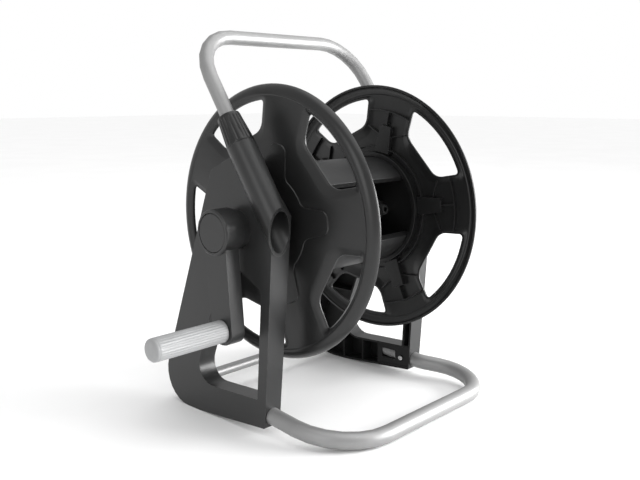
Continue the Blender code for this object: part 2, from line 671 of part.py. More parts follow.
def flange(name, side, reel):
    face, back = FLANGE_FACE, FLANGE_FACE - FLANGE_PLATE
    edge, ring_end = FLANGE_RADIUS, back - HUB_RING_DEPTH
    ring = HUB_RING_BORE + HUB_RING_WALL
    profile = [(0, HUB_END), (HUB_BOSS_RADIUS, HUB_END), (HUB_BOSS_RADIUS, face), (edge - RIM_WIDTH, face),
               (edge - RIM_WIDTH * 0.75, face + RIM_CROWN), (edge - RIM_WIDTH * 0.3, face), (edge, face - 0.004),
               (edge, face - RIM_DEPTH), (edge - FLANGE_PLATE, face - RIM_DEPTH), (edge - FLANGE_PLATE, back),
               (ring, back), (ring, ring_end), (HUB_RING_BORE, ring_end), (HUB_RING_BORE, back),
               (HUB_BOSS_RADIUS, back), (HUB_BOSS_RADIUS, back - HUB_BOSS_IN), (0, back - HUB_BOSS_IN)]
    body = to_object(at_axis(turned([(radius, side * x) for radius, x in profile], ROUND_LARGE, ring=False)),
                     name, "reel_plastic", reel)
    window_span = (side * (face - 0.025), side * (face + 0.015))
    hex_span = (side * (face - 0.045), side * (face + 0.025))
    windows = [("DIFFERENCE", at_axis(prism(window_outline(number), *window_span)))
               for number in range(WINDOW_COUNT)]
    carve(body, windows + [("DIFFERENCE", at_axis(hex_bar(AXLE_HEX + GAP * 2, *hex_span)))], reel)


def drum_shell(name, gap_edge, seam, reel):
    """Half of the drum's wall, from the hose gap, where a lip stiffens it, to the seam at the back."""
    turn = 1 if seam > gap_edge else -1
    seam -= turn * GAP / DRUM_RADIUS
    inner = DRUM_RADIUS - DRUM_WALL
    steps = ceil(abs(seam - gap_edge) / (ARC_STEP / 2))
    angles = [gap_edge + (seam - gap_edge) * step / steps for step in range(steps + 1)]
    lip = turn * DRUM_WALL / inner
    outline = [polar(DRUM_RADIUS, angle) for angle in angles]
    outline += [polar(inner, angle) for angle in reversed(angles[1:])]
    outline += [polar(inner, gap_edge + lip), polar(inner - DRUM_LIP, gap_edge + lip),
                polar(inner - DRUM_LIP, gap_edge)]
    to_object(at_axis(prism(outline, -DRUM_INNER, DRUM_INNER)), name, "drum_plastic", reel)


def axle(reel):
    left_journal = CRANK_BACK - GAP
    body = to_object(at_axis(rod(JOURNAL, -left_journal, AXLE_RIGHT)), "axle_tube", "acetal", reel)
    port = along(rod(OUTLET_PORT, 0, AXLE_HEX + 0.005, ROUND_SMALL), (OUTLET_X, 0, AXIS_HEIGHT),
                 (0, *polar(1, GAP_MIDDLE)))
    steps = [("UNION", at_axis(hex_bar(AXLE_HEX, -HUB_END, HUB_END))),
             ("UNION", at_axis(moved(hex_bar(CRANK_HEX, -AXLE_LEFT, -left_journal + 0.010), CRANK_TURN))),
             ("DIFFERENCE", at_axis(rod(AXLE_BORE, AXLE_RIGHT - AXLE_BORE_LENGTH, AXLE_RIGHT + 0.010))),
             ("DIFFERENCE", port),
             ("DIFFERENCE", at_axis(rod(CRANK_SCREW + GAP, -AXLE_LEFT - 0.010, -CRANK_SCREW_END + GAP,
                                        ROUND_SMALL)))]
    for place in SEAL_PLACES:
        groove = pipe(JOURNAL + 0.005, JOURNAL - SEAL_DEPTH, place - SEAL_RADIUS - GAP, place + SEAL_RADIUS + GAP)
        steps.append(("DIFFERENCE", at_axis(groove)))
    carve(body, steps, reel)
    for number, place in enumerate(SEAL_PLACES, 1):
        seal = pipe(JOURNAL + RUNNING / 2, JOURNAL - SEAL_DEPTH + GAP, place - SEAL_RADIUS, place + SEAL_RADIUS)
        to_object(at_axis(seal), f"axle_seal_{number}", "rubber", reel)
    for side, word in SIDES:
        clip = pipe(CLIP_RADIUS, JOURNAL + GAP, side * (HUB_END + GAP), side * CLIP_END)
        to_object(at_axis(clip), f"axle_clip_{word}", "steel", reel)


def outlet(reel):
    """The hose's joint inside the drum: a tee on the axle, a nut and a barbed tail that points at the gap."""
    towards = (0, *polar(1, GAP_MIDDLE))
    centre = (OUTLET_X, 0, AXIS_HEIGHT)
    half = OUTLET_WIDTH / 2
    body = to_object(at_axis(rod(OUTLET_RADIUS, OUTLET_X - half, OUTLET_X + half)), "outlet_tee",
                     "collar_plastic", reel)
    carve(body, [("UNION", along(rod(OUTLET_PIPE, AXLE_HEX, OUTLET_REACH), centre, towards)),
                 ("DIFFERENCE", at_axis(hex_bar(AXLE_HEX + GAP * 2, 0, 0.090))),
                 ("DIFFERENCE", along(rod(OUTLET_BORE, 0, OUTLET_REACH + 0.010), centre, towards))], reel)
    tail_start = OUTLET_REACH + GAP
    nut_end = tail_start + CONNECTOR_LENGTH / 2
    nut = pipe(CONNECTOR_RADIUS, OUTLET_PIPE + GAP, nut_end - CONNECTOR_LENGTH, nut_end)
    to_object(along(nut, centre, towards), "outlet_nut", "collar_plastic", reel)
    profile = [(TAIL_BORE, tail_start), (OUTLET_PIPE, tail_start)]
    for barb in range(TAIL_BARBS):
        start = nut_end + TAIL_PITCH * barb
        profile += [(TAIL_ROOT, start), (OUTLET_PIPE - GAP, start), (TAIL_ROOT, start + TAIL_PITCH)]
    end = nut_end + TAIL_PITCH * TAIL_BARBS
    profile[1:3] = [(OUTLET_PIPE, tail_start), (OUTLET_PIPE, nut_end)]
    to_object(along(turned([*profile, (TAIL_BORE, end)], ROUND_SMALL), centre, towards), "outlet_tail",
              "collar_plastic", reel)


# ---------------------------------------------------------------- crank and grip
def crank(reel):
    pivot = empty("crank_arm_line", (0, 0, 0), reel, turn=(-CRANK_REST, 0, 0))
    low = -CRANK_REACH - ARM_HALF_END
    outline = rounded([(-ARM_HALF_TOP, 0, 0), (-ARM_HALF_END, low, ARM_HALF_END * 0.9),
                       (ARM_HALF_END, low, ARM_HALF_END * 0.9), (ARM_HALF_TOP, 0, 0)])
    recess = CRANK_HEAD_FACE - CAP_THICK
    web = AXLE_LEFT + GAP
    counterbore = recess - SCREW_POCKET
    round_edge = 0.0015
    head = [(0, CRANK_HEAD_FACE), (CRANK_HEAD - round_edge, CRANK_HEAD_FACE), (CRANK_HEAD, CRANK_HEAD_FACE - round_edge),
            (CRANK_HEAD, CRANK_BACK), (0, CRANK_BACK)]
    spindle_hole = moved(rod(SPINDLE_RADIUS + GAP, -CRANK_BACK + 0.010, -CRANK_FACE - 0.010, ROUND_SMALL),
                         Matrix.Translation((0, 0, -CRANK_REACH)))
    body = to_object(prism(outline, -ARM_BACK, -CRANK_FACE), "crank_arm", "frame_plastic", pivot, local=True)
    carve(body, [("UNION", turned([(radius, -x) for radius, x in head], ring=False)),
                 ("DIFFERENCE", rod(CAP_RADIUS + GAP, -recess, -CRANK_HEAD_FACE - 0.010)),
                 ("DIFFERENCE", hex_bar(CRANK_HEX + GAP * 2, -CRANK_BACK + 0.010, -web)),
                 ("DIFFERENCE", rod(CRANK_SCREW + GAP, -web + 0.002, -recess - 0.001, ROUND_SMALL)),
                 ("DIFFERENCE", rod(WASHER_RADIUS + GAP, -counterbore, -recess - 0.001, ROUND_SMALL)),
                 ("DIFFERENCE", spindle_hole)], pivot, local=True)

    washer_in = counterbore + GAP
    washer_out = washer_in + WASHER_THICK
    to_object(pipe(WASHER_RADIUS, CRANK_SCREW + GAP, -washer_in, -washer_out, ROUND_SMALL), "crank_washer", "steel",
              pivot, local=True)
    screw = [(0, CRANK_SCREW_END), (CRANK_SCREW, CRANK_SCREW_END), (CRANK_SCREW, washer_out + GAP),
             (WASHER_RADIUS * 0.9, washer_out + GAP), (WASHER_RADIUS * 0.9, recess - GAP), (0, recess - GAP)]
    to_object(turned([(radius, -x) for radius, x in screw], ROUND_SMALL, ring=False), "crank_screw", "steel",
              pivot, local=True)
    cap = [(0, recess + GAP), (CAP_RADIUS, recess + GAP), (CAP_RADIUS, CRANK_HEAD_FACE - CAP_ROUND),
           (CAP_RADIUS - CAP_ROUND, CRANK_HEAD_FACE), (0, CRANK_HEAD_FACE)]
    to_object(turned([(radius, -x) for radius, x in cap], ring=False), "crank_cap", "frame_plastic", pivot,
              local=True)

    grip_line = empty("grip_axis", (0, 0, -CRANK_REACH), pivot)
    spindle_end = GRIP_START + GRIP_LENGTH - GRIP_POCKET / 3
    spindle = [(0, ARM_BACK - GAP - SPINDLE_HEAD), (SPINDLE_RADIUS * 1.6, ARM_BACK - GAP - SPINDLE_HEAD),
               (SPINDLE_RADIUS * 1.6, ARM_BACK - GAP), (SPINDLE_RADIUS, ARM_BACK - GAP),
               (SPINDLE_RADIUS, spindle_end), (0, spindle_end)]
    to_object(turned([(radius, -x) for radius, x in spindle], ROUND_SMALL, ring=False), "grip_spindle", "steel",
              grip_line, local=True)
    retainer = GRIP_START + GRIP_LENGTH - GRIP_POCKET + RUNNING
    to_object(pipe(RETAINER_RADIUS, SPINDLE_RADIUS + GAP, -retainer, -retainer - WASHER_THICK, ROUND_SMALL),
              "grip_retainer", "steel", grip_line, local=True)
    grip(grip_line)


def grip(pivot):
    bore, pocket = SPINDLE_RADIUS + RUNNING, RETAINER_RADIUS + GAP
    end = GRIP_START + GRIP_LENGTH
    body = [(bore, GRIP_START), (GRIP_RADIUS - GRIP_ROUND, GRIP_START), (GRIP_RADIUS, GRIP_START + GRIP_ROUND),
            (GRIP_RADIUS, end), (pocket, end), (pocket, end - GRIP_POCKET), (bore, end - GRIP_POCKET)]
    to_object(turned([(radius, -x) for radius, x in body]), "grip", "grip_plastic", pivot, local=True)
    face = end + GAP
    cap = [(0, end - GRIP_POCKET / 4), (pocket - GAP, end - GRIP_POCKET / 4), (pocket - GAP, face), (GRIP_RADIUS, face),
           (GRIP_RADIUS - GRIP_CAP_ROUND * 0.3, face + GRIP_CAP * 0.6),
           (GRIP_RADIUS - GRIP_CAP_ROUND, face + GRIP_CAP), (0, face + GRIP_CAP)]
    to_object(turned([(radius, -x) for radius, x in cap], ring=False), "grip_end_cap", "grip_cap_plastic", pivot,
              local=True)


# ---------------------------------------------------------------- water inlet
def inlet(stand):
    pivot = empty("inlet_axis", (INLET_END - INLET_PIPE, 0, AXIS_HEIGHT), stand)
    down = (0, 0, -1)
    elbow_x = INLET_END - INLET_PIPE
    centre = (elbow_x, 0, AXIS_HEIGHT)
    housing = BOSS_OUT + RUNNING + NUT_LENGTH + 2 * GAP
    body = to_object(at_axis(rod(INLET_RADIUS, housing, INLET_END)), "inlet_elbow", "collar_plastic", pivot)
    carve(body, [("UNION", along(rod(INLET_PIPE, 0, INLET_DROP), centre, down)),
                 ("DIFFERENCE", at_axis(rod(JOURNAL + RUNNING, housing - 0.010, AXLE_RIGHT + INLET_CHAMBER))),
                 ("DIFFERENCE", along(rod(NIPPLE_SPIGOT + GAP, 0, INLET_DROP + 0.010), centre, down))], pivot)
    nut = pipe(INLET_RADIUS + 0.003, JOURNAL + RUNNING, BOSS_OUT + RUNNING, BOSS_OUT + RUNNING + NUT_LENGTH)
    to_object(at_axis(nut), "inlet_nut", "collar_plastic", pivot)

    start = INLET_DROP + GAP
    end = start + NIPPLE_LENGTH
    groove = end - NIPPLE_LENGTH * 0.35
    profile = [(NIPPLE_BORE, INLET_DROP - NIPPLE_SPIGOT), (NIPPLE_SPIGOT, INLET_DROP - NIPPLE_SPIGOT),
               (NIPPLE_SPIGOT, start), (NIPPLE_FLANGE, start), (NIPPLE_FLANGE, start + 0.004),
               (NIPPLE_NECK, start + 0.004), (NIPPLE_NECK, start + 0.010), (NIPPLE_RADIUS, start + 0.012),
               (NIPPLE_RADIUS, groove), (NIPPLE_NECK, groove), (NIPPLE_NECK, groove + 2 * SEAL_RADIUS + 2 * GAP),
               (NIPPLE_RADIUS, groove + 2 * SEAL_RADIUS + 2 * GAP), (NIPPLE_RADIUS, end - 0.002),
               (NIPPLE_NECK, end), (NIPPLE_BORE, end)]
    to_object(along(turned(profile), centre, down), "inlet_nipple", "collar_plastic", pivot)
    seal = pipe(NIPPLE_RADIUS + SEAL_PROUD, NIPPLE_NECK + GAP, groove + GAP, groove + GAP + 2 * SEAL_RADIUS)
    to_object(along(seal, centre, down), "nipple_seal", "rubber", pivot)


# ---------------------------------------------------------------- assembly
def main():
    clear_scene()
    stand = empty("stand", (0, 0, 0))
    for side, word in SIDES:
        side_frame(f"side_frame_{word}", side, stand)
        bearing_bush(f"bearing_bush_{word}", side, stand)
        base_screw(f"base_screw_{word}", side, stand)
        sleeve_fittings(side, word, stand)
    base_loop(stand)
    rear_tube(stand)
    handle(stand)

    reel = empty("reel_axis", (0, 0, AXIS_HEIGHT), stand)
    for side, word in SIDES:
        flange(f"flange_{word}", side, reel)
    drum_shell("drum_shell_upper", DRUM_GAP_HIGH, DRUM_SEAM, reel)
    drum_shell("drum_shell_lower", DRUM_GAP_LOW, DRUM_SEAM - 2 * pi, reel)
    axle(reel)
    outlet(reel)
    crank(reel)
    inlet(stand)
    stand.location.x = -MIDDLE_X


main()
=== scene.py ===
from math import atan2, cos, pi, radians, sin
import json

import bmesh
import bpy
from mathutils import Matrix, Vector

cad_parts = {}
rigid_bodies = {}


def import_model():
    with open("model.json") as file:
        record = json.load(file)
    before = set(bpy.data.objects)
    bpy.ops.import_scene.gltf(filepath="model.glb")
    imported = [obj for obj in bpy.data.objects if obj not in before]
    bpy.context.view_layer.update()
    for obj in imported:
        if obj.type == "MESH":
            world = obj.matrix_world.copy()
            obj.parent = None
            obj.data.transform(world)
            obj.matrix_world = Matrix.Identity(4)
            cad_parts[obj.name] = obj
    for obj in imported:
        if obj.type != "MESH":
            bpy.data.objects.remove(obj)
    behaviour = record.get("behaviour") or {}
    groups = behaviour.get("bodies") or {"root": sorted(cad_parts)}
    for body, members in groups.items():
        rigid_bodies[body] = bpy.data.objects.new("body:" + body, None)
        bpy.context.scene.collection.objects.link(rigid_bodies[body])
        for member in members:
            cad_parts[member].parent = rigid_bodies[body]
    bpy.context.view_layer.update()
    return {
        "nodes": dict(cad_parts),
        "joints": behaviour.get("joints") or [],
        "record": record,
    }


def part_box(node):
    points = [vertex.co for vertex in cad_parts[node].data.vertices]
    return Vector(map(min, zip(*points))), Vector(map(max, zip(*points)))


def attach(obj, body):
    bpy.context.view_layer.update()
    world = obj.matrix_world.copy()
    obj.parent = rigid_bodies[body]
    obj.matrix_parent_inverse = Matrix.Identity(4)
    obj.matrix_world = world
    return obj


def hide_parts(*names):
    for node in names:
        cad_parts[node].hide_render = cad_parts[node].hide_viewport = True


for leftOver in list(bpy.data.objects):
    bpy.data.objects.remove(leftOver)
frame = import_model()
print("frame loaded:", len(frame["nodes"]), "parts")

leftFlange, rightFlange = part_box("flange_left"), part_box("flange_right")
reelCentre = (leftFlange[0] + rightFlange[1]) / 2      # on the axle, midway between the side frames


cameraSetup = {
    "stand": Vector((-0.7616, -0.6981, 0.1538)),       # where it stands, from the middle of the reel
    "turn": radians(-47.06), "tilt": radians(10.29), "lens": 44.32, "film": 36.0,
}
lightSetup = {
    "room": 0.62, "paper": 1.0,                        # what the world gives as light, and what is seen of it
    "sun": {"strength": 1.30, "spread": radians(70), "turn": (radians(12), radians(14), 0)},
    "key": {"from": (1.65, -1.65, 0.62), "size": (1.7, 1.15), "power": 105},
    "fill": {"from": (-2.2, -0.6, 1.1), "size": (1.2, 1.6), "power": 11},
}


def makeCamera(setup):
    data = bpy.data.cameras.new("viewCamera")
    data.lens, data.sensor_width, data.clip_start = setup["lens"], setup["film"], 0.01
    camera = bpy.data.objects.new("viewCamera", data)
    camera.location = reelCentre + setup["stand"]
    camera.rotation_euler = (pi / 2 - setup["tilt"], 0, setup["turn"])
    bpy.context.scene.collection.objects.link(camera)
    bpy.context.scene.camera = camera


def makeLight(name, setup):
    data = bpy.data.lights.new(name, "AREA")
    data.shape, data.size, data.size_y = "RECTANGLE", *setup["size"]
    data.energy = setup["power"]
    lamp = bpy.data.objects.new(name, data)
    lamp.location = setup["from"]
    lamp.rotation_euler = (reelCentre - lamp.location).to_track_quat("-Z", "Y").to_euler()
    bpy.context.scene.collection.objects.link(lamp)


makeCamera(cameraSetup)
for lampName in ("key", "fill"):
    makeLight(lampName, lightSetup[lampName])
sunData = bpy.data.lights.new("overhead", "SUN")
sunData.energy, sunData.angle = lightSetup["sun"]["strength"], lightSetup["sun"]["spread"]
overhead = bpy.data.objects.new("overhead", sunData)
overhead.rotation_euler = lightSetup["sun"]["turn"]
bpy.context.scene.collection.objects.link(overhead)
room = bpy.data.worlds.new("paleRoom")
room.use_nodes = True
roomTree = room.node_tree
backdrop = roomTree.nodes["Background"]
backdrop.inputs["Color"].default_value = (1, 1, 1, 1)
seen = roomTree.nodes.new("ShaderNodeLightPath")       # the paper looks white, the light it gives is softer
strength = roomTree.nodes.new("ShaderNodeMapRange")
strength.inputs["To Min"].default_value = lightSetup["room"]
strength.inputs["To Max"].default_value = lightSetup["paper"]
roomTree.links.new(seen.outputs["Is Camera Ray"], strength.inputs["Value"])
roomTree.links.new(strength.outputs["Result"], backdrop.inputs["Strength"])
bpy.context.scene.world = room
bpy.context.scene.view_settings.view_transform = "Standard"
print("camera and lights set")


class Wire:
    # a socket that takes part in sums
    def __init__(self, web, socket):
        self.web, self.socket = web, socket

    def maths(self, operation, *parts):
        return self.web.node("Math", {"operation": operation}, dict(enumerate(parts)))

    def __add__(self, other):
        return self.maths("ADD", self, other)

    def __sub__(self, other):
        return self.maths("SUBTRACT", self, other)

    def __rsub__(self, other):
        return self.maths("SUBTRACT", other, self)

    def __mul__(self, other):
        return self.maths("MULTIPLY", self, other)

    __radd__, __rmul__ = __add__, __mul__

    def spread(self, low, high):
        # 0 below low, 1 above high
        sockets = {"Value": self, "From Min": low, "From Max": high}
        return self.web.node("MapRange", {"interpolation_type": "SMOOTHSTEP"}, sockets)


class Web:
    # one material's nodes
    def __init__(self, name):
        self.material = bpy.data.materials.new(name)
        self.material.use_nodes = True
        self.tree = self.material.node_tree
        self.shader = self.tree.nodes["Principled BSDF"]

    def node(self, kind, settings=None, sockets=None, out=0):
        made = self.tree.nodes.new("ShaderNode" + kind)
        for name, value in (settings or {}).items():
            setattr(made, name, value)
        for name, value in (sockets or {}).items():
            self.join(value, made.inputs[name])
        return Wire(self, made.outputs[out])

    def join(self, value, socket):
        if isinstance(value, Wire):
            self.tree.links.new(value.socket, socket)
        else:
            socket.default_value = value

    def surface(self, **values):
        for name, value in values.items():
            self.join(value, self.shader.inputs[name.replace("_", " ")])
        return self.material

    def noise(self, scale, detail, stretch=(1, 1, 1), turn=(0, 0, 0)):
        here = self.node("TexCoord", out="Object")
        place = self.node("Mapping", {}, {"Vector": here, "Rotation": turn, "Scale": stretch})
        sockets = {"Vector": place, "Scale": scale, "Detail": detail, "Roughness": 0.55}
        return self.node("TexNoise", {}, sockets)

    def blendColours(self, share, first, second):
        # sockets 6 and 7 and output 2 are the colour ones
        return self.node("Mix", {"data_type": "RGBA"}, {0: share, 6: first, 7: second}, out=2)

    def bump(self, height, strength, distance, before=None):
        sockets = {"Height": height, "Strength": strength, "Distance": distance}
        if before:
            sockets["Normal"] = before
        return self.node("Bump", {}, sockets)

    def edges(self, reach, gain=3.2):
        # how sharply the surface turns within reach
        rounded = self.node("Bevel", {"samples": 6}, {"Radius": reach})
        plain = self.node("NewGeometry", out="Normal")
        along = self.node("VectorMath", {"operation": "DOT_PRODUCT"}, {0: rounded, 1: plain}, out="Value")
        return (1 - along) * gain


def grey(level, warm=0.0):
    return (level * (1 + warm), level, level * (1 - warm), 1)


def mouldedPlastic(name, setup):
    # clouded and streaked tone, fine grain, a few scuffs, and edges painted paler: partly rubbed wear, partly
    # a painted highlight along the edges
    web = Web(name)
    level = setup["level"]
    cloud = web.noise(9, 3)
    streak = web.noise(60, 4, stretch=(1, 1, 0.25))
    grain = web.noise(setup["grain"], 2)
    pits = web.noise(setup["grain"] * 0.31, 2)
    scuff = web.noise(34, 6, stretch=(1, 0.16, 1), turn=(0.5, 0.2, 0.7)).spread(0.60, 0.72)
    edgeBend = web.edges(0.0012)
    wearAndEdgeHighlight = (edgeBend * web.noise(120, 3).spread(0.36, 0.62)).spread(0.1, 1.1)
    tone = web.blendColours(cloud.spread(0.3, 0.7), grey(level * 0.93, -0.01), grey(level * 1.08, -0.01))
    tone = web.blendColours(streak.spread(0.45, 0.8) * 0.25, tone, grey(level * 1.3, -0.01))
    tone = web.blendColours(scuff * setup["scuff"], tone, grey(level * 2.1))
    # edges painted paler: partly rubbed wear, partly a painted highlight along rounded edges
    tone = web.blendColours(wearAndEdgeHighlight * setup["wearAndEdgeHighlight"], tone, grey(level * 3.2 + 0.04))
    gloss = setup["rough"] + (cloud - 0.5) * 0.16 + (grain - 0.5) * 0.10 + scuff * 0.10 - wearAndEdgeHighlight * 0.05
    fine = web.bump(grain, 0.22, 0.00004)
    coarse = web.bump(pits, 0.18, 0.00008, fine)
    return web.surface(Base_Color=tone, Roughness=gloss, Normal=coarse, Specular_IOR_Level=setup["shine"])


def satinMetal(name, setup):
    # drawn lines, thin scratches and smudges
    web = Web(name)
    level = setup["level"]
    cloud = web.noise(14, 3)
    drawn = web.noise(700, 2, stretch=setup["draw"])
    scratch = web.noise(210, 5, stretch=(0.07, 1, 1), turn=(0.3, 0.5, 0.9)).spread(0.63, 0.70)
    smudge = web.noise(46, 4).spread(0.5, 0.74)
    tone = web.blendColours(cloud.spread(0.3, 0.7), grey(level * 0.94), grey(level))
    tone = web.blendColours(smudge * 0.22, tone, grey(level * 0.84, 0.01))
    tone = web.blendColours(scratch * 0.35, tone, grey(level * 1.12))
    gloss = setup["rough"] + (drawn - 0.5) * 0.08 + smudge * 0.07 - scratch * 0.05
    lines = web.bump(drawn, 0.10, 0.00002)
    marks = web.bump(scratch, 0.06, 0.00003, lines)
    return web.surface(Base_Color=tone, Roughness=gloss, Metallic=setup["metal"], Normal=marks)


def softRubber(name, setup):
    web = Web(name)
    level = setup["level"]
    cloud = web.noise(60, 3)
    grain = web.noise(2600, 2)
    dust = web.noise(170, 5).spread(0.55, 0.75)
    tone = web.blendColours(cloud.spread(0.3, 0.7), grey(level * 0.8), grey(level * 1.2))
    tone = web.blendColours(dust * 0.25, tone, grey(level * 3))
    gloss = setup["rough"] + (grain - 0.5) * 0.14 + dust * 0.08
    fine = web.bump(grain, 0.25, 0.00005)
    return web.surface(Base_Color=tone, Roughness=gloss, Normal=fine, Specular_IOR_Level=0.35)


# the last value weighs the paler edges: partly rubbed wear, partly a painted highlight
plasticValues = ("level", "rough", "shine", "grain", "scuff", "wearAndEdgeHighlight")
plasticLooks = {                                       # each slot's material, and its values in that order
    "frame_plastic": ("framePlastic", 0.018, 0.35, 0.46, 1700, 0.06, 0.9),
    "reel_plastic": ("reelPlastic", 0.011, 0.33, 0.46, 1500, 0.06, 0.8),
    "drum_plastic": ("drumPlastic", 0.018, 0.44, 0.32, 1400, 0.06, 0.22),
    "collar_plastic": ("collarPlastic", 0.006, 0.33, 0.5, 2000, 0.04, 0.22),
    "grip_plastic": ("gripPlastic", 0.30, 0.42, 0.45, 1900, 0.02, 0.0),
    "grip_cap_plastic": ("gripCapPlastic", 0.30, 0.46, 0.4, 1800, 0.02, 0.0),
    "acetal": ("bushPlastic", 0.30, 0.36, 0.5, 2400, 0.03, 0.0),
    # a darker copy of the frame plastic for the faces turned towards the reel: painted shade
    "inside": ("frameInsidePaintedShade", 0.012, 0.55, 0.22, 1500, 0.03, 0.16),
}
tubeSetup = {"level": 0.29, "rough": 0.45, "metal": 0.45, "draw": (1, 1, 1)}
screwSetup = {"level": 0.62, "rough": 0.27, "metal": 1.0, "draw": (1, 1, 0.25)}
finishes = {
    "tube_aluminium": satinMetal("tubeAluminium", tubeSetup),
    "steel": satinMetal("screwSteel", screwSetup),
    "rubber": softRubber("sealRubber", {"level": 0.012, "rough": 0.62}),
}
for slotName, (materialName, *look) in plasticLooks.items():
    finishes[slotName] = mouldedPlastic(materialName, dict(zip(plasticValues, look)))
print("finishes made:", len(finishes))


def carried(node):
    # a merged copy of a part's mesh, its flat faces made whole again
    bm = bmesh.new()
    bm.from_mesh(frame["nodes"][node].data)
    bmesh.ops.remove_doubles(bm, verts=bm.verts, dist=0.00001)
    bmesh.ops.dissolve_limit(bm, angle_limit=radians(0.6), verts=bm.verts, edges=bm.edges)
    return bm


def finishPiece(bm, name, body, slotName, turnLimit=32, roundOff=0.0, segments=2, stands=()):
    # edges that turn by more than the limit stay sharp, and are rounded off where a width is given
    for face in bm.faces:
        face.smooth = True
    for edge in bm.edges:
        edge.smooth = edge.calc_face_angle(pi) < radians(turnLimit)
    mesh = bpy.data.meshes.new(name)
    bm.to_mesh(mesh)
    bm.free()
    piece = bpy.data.objects.new(name, mesh)
    bpy.context.scene.collection.objects.link(piece)
    mesh.materials.append(finishes[slotName])
    if roundOff:
        rounding = piece.modifiers.new("roundedEdges", "BEVEL")
        rounding.width, rounding.segments, rounding.profile = roundOff, segments, 0.5
        rounding.limit_method, rounding.angle_limit = "ANGLE", radians(turnLimit)
        rounding.harden_normals, rounding.use_clamp_overlap = True, True
    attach(piece, body)
    if stands:
        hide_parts(*stands)
    return piece


nodesOf = frame["record"]["behaviour"]["bodies"]
bodyOf = {node: body for body, nodes in nodesOf.items() for node in nodes}
slotOf = {name: node.data.materials[0].name for name, node in frame["nodes"].items()}
for partName, part in frame["nodes"].items():
    part.material_slots[0].material = finishes[slotOf[partName]]

carriedParts = {                                       # edge rounding and its steps
    "side_frame_left": (0.0011, 2), "side_frame_right": (0.0011, 2),
    "crank_arm": (0.0012, 3), "crank_cap": (0.0005, 2),
    "drum_shell_upper": (0.0006, 2), "drum_shell_lower": (0.0006, 2),
    "handle_tube": (0.0, 0), "base_loop_tube": (0.0, 0), "rear_cross_tube": (0.0, 0),
    "bearing_bush_left": (0.0004, 2), "bearing_bush_right": (0.0004, 2),
    "axle_tube": (0.0003, 1),
    "outlet_tee": (0.0004, 2), "outlet_nut": (0.0004, 2), "outlet_tail": (0.0002, 1),
    "inlet_elbow": (0.0005, 2), "inlet_nut": (0.0004, 2), "inlet_nipple": (0.0003, 1),
}
for partName, (roundOff, segments) in carriedParts.items():
    made = finishPiece(carried(partName), partName + "_smooth", bodyOf[partName], slotOf[partName],
                       roundOff=roundOff, segments=segments, stands=[partName])
    if partName.startswith("side_frame"):              # faces turned in towards the reel get a darker copy of the frame plastic: painted shade
        made.data.materials.append(finishes["inside"])
        inward = 1 if partName.endswith("left") else -1
        for face in made.data.polygons:
            if face.normal.x * inward > 0.5:
                face.material_index = 1
print("carried parts finished:", len(carriedParts))


flangeSizes = {
    "axis": reelCentre.z,
    "hubOut": 0.010,                                   # how far the hub stands out of the flange's face
    "rim": ((0.1560, 0.0), (0.1566, 0.0005), (0.1580, 0.0009), (0.1600, 0.0008), (0.1622, 0.0002),
            (0.1645, -0.0009), (0.1665, -0.0024), (0.1682, -0.0043), (0.1693, -0.0062), (0.1699, -0.0080),
            (0.1700, -0.0092)),
    "windows": 5, "phase": radians(42.9), "wall": 0.0026, "depth": 0.0062,
    # each ring round a window: outer radius, half angle, floor's distance and half angle, corner, height
    "surround": ((0.1553, 25.0, 0.0950, 21.5, 0.0150, 0.0),
                 (0.1545, 24.2, 0.0975, 20.8, 0.0140, -0.0003),
                 (0.1532, 23.0, 0.1020, 19.6, 0.0125, -0.0013),
                 (0.1518, 21.7, 0.1070, 18.3, 0.0110, -0.0028),
                 (0.1512, 21.2, 0.1092, 17.8, 0.0103, -0.0036),
                 (0.1510, 21.0, 0.1100, 17.6, 0.0100, -0.0044)),
    "star": {"hub": 0.064, "root": 0.019, "tip": 0.013, "reach": 0.101, "rise": 0.0013, "draft": 0.99,
             "rootCorner": 0.007, "tipCorner": 0.009, "between": (0.38, 0.5, 0.62),
             "bore": 0.0178, "boreSteps": 64},
    "hubBoss": ((0.0128, 0.0098), (0.0172, 0.0100), (0.0180, 0.0092), (0.0180, -0.0185), (0.0172, -0.0192),
                (0.0128, -0.0192)),
    "ring": ((0.0728, -0.0026), (0.0728, -0.0139), (0.0732, -0.0142), (0.0784, -0.0142), (0.0788, -0.0139),
             (0.0788, -0.0026)),
    "outerRing": ((0.0858, -0.0026), (0.0858, -0.0082), (0.0872, -0.0082), (0.0872, -0.0026)),
    "rib": 0.0013, "ribDepth": 0.0080,
    "tongue": {"start": 0.0795, "end": 0.1170, "rootWide": 0.0125, "tipWide": 0.0088, "depth": 0.0092},
    "cornerRib": {"back": 0.014, "out": 0.1110, "aside": 0.0325, "shallower": 0.0012},
    "arcRib": {"radius": 0.1360, "half": radians(14.4), "steps": 14},
}


def around(radius, angle, height=0.0):
    # a point at an angle from the front towards the top, in the flange's own plane
    return Vector((-cos(angle) * radius, sin(angle) * radius, height))


def outlineOf(points, corners, steps=4):
    # a closed outline from a few points, with its corners rounded
    bm = bmesh.new()
    bm.faces.new([bm.verts.new(point) for point in points])
    for index, radius in corners.items():
        corner = min(bm.verts, key=lambda vert: (vert.co - points[index]).length)
        bmesh.ops.bevel(bm, geom=[corner], offset=radius, offset_type="OFFSET", segments=steps, profile=0.5,
                        affect="VERTICES", material=-1)
    line = [loop.vert.co.copy() for loop in bm.faces[:][0].loops]
    bm.free()
    return line


def layLoop(bm, line):
    ring = [bm.verts.new(point) for point in line]
    return [bm.edges.new((ring[i - 1], ring[i])) for i in range(len(ring))]


def windowLine(middle, ring, arcSteps=14):
    # one ring round a window: an arc near the rim, and a straight floor near the hub
    radius, half, floor, side, corner, height = ring
    half, side = radians(half), radians(side)
    points = [around(radius, middle - half + 2 * half * i / arcSteps, height) for i in range(arcSteps + 1)]
    points += [around(floor / cos(side), middle + way * side, height) for way in (1, -1)]
    last = len(points) - 1
    return outlineOf(points, {0: corner / 2, arcSteps: corner / 2, last - 1: corner, last: corner})


